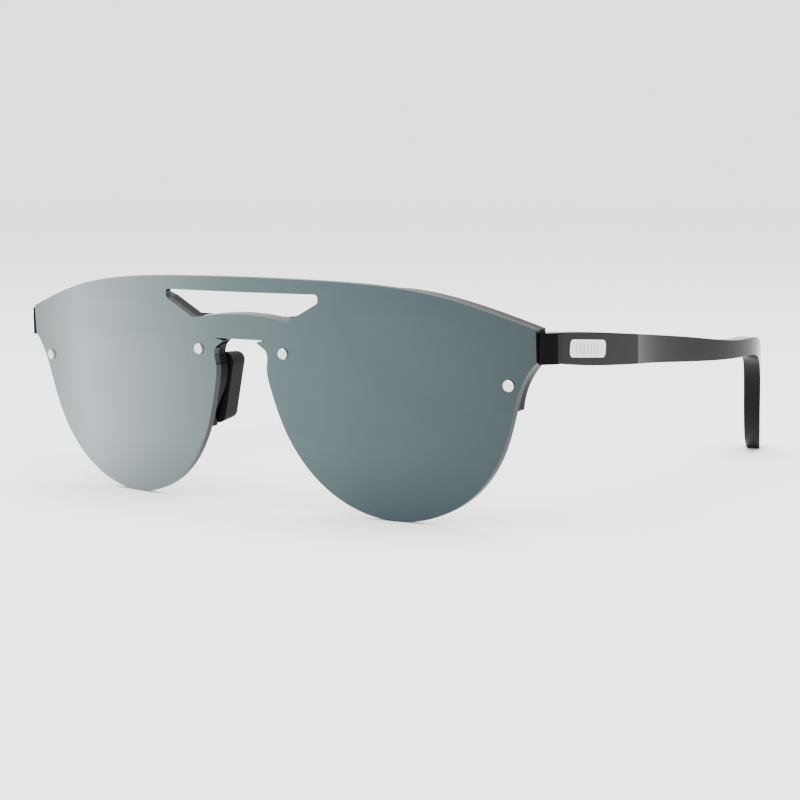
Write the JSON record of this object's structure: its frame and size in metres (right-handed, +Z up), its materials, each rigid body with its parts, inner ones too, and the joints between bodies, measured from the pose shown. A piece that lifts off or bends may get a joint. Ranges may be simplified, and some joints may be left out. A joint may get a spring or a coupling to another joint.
{
  "type": "shield sunglasses",
  "caption": "Wraparound shield sunglasses with a one-piece mirrored lens, double bridge, half-rim carrier, nose pads and folding temples with ear hooks.",
  "frame": {"origin": "on the surface the open glasses stand on, under the middle of their bounding box", "axes": "+Z up, the lens faces -Y, the temples run to +Y, the wearer's left is +X"},
  "size_m": [0.1466, 0.151, 0.0506],
  "materials": {
    "lens": "mirror-coated polycarbonate",
    "frame": "gloss black nylon",
    "pad": "matte moulded rubber",
    "steel": "satin steel",
    "clear": "clear moulded polymer",
    "badge": "brushed plate"
  },
  "bodies": {
    "front": {"shield_lens": "lens", "front_frame": "frame", "left_inner_rivet": "steel", "left_inner_bush": "clear", "left_outer_rivet": "steel", "left_outer_bush": "clear", "right_inner_rivet": "steel", "right_inner_bush": "clear", "right_outer_rivet": "steel", "right_outer_bush": "clear", "left_nose_pad": "pad", "left_front_hinge_leaf": "steel", "left_hinge_screw": "steel", "right_nose_pad": "pad", "right_front_hinge_leaf": "steel", "right_hinge_screw": "steel"},
    "left_temple": {"left_temple": "frame", "left_core_wire": "steel", "left_temple_hinge_leaf": "steel", "left_badge_plate": "badge"},
    "right_temple": {"right_temple": "frame", "right_core_wire": "steel", "right_temple_hinge_leaf": "steel", "right_badge_plate": "badge"}
  },
  "joints": [
    {"name": "left_temple_fold", "type": "hinge", "parent": "front", "child": "left_temple", "pos_m": [0.067, -0.06143, 0.0377], "axis": [0, 0, 1], "range_deg": [0, 85]},
    {"name": "right_temple_fold", "type": "hinge", "parent": "front", "child": "right_temple", "pos_m": [-0.067, -0.06143, 0.0377], "axis": [0, 0, -1], "range_deg": [0, 70]}
  ]
}
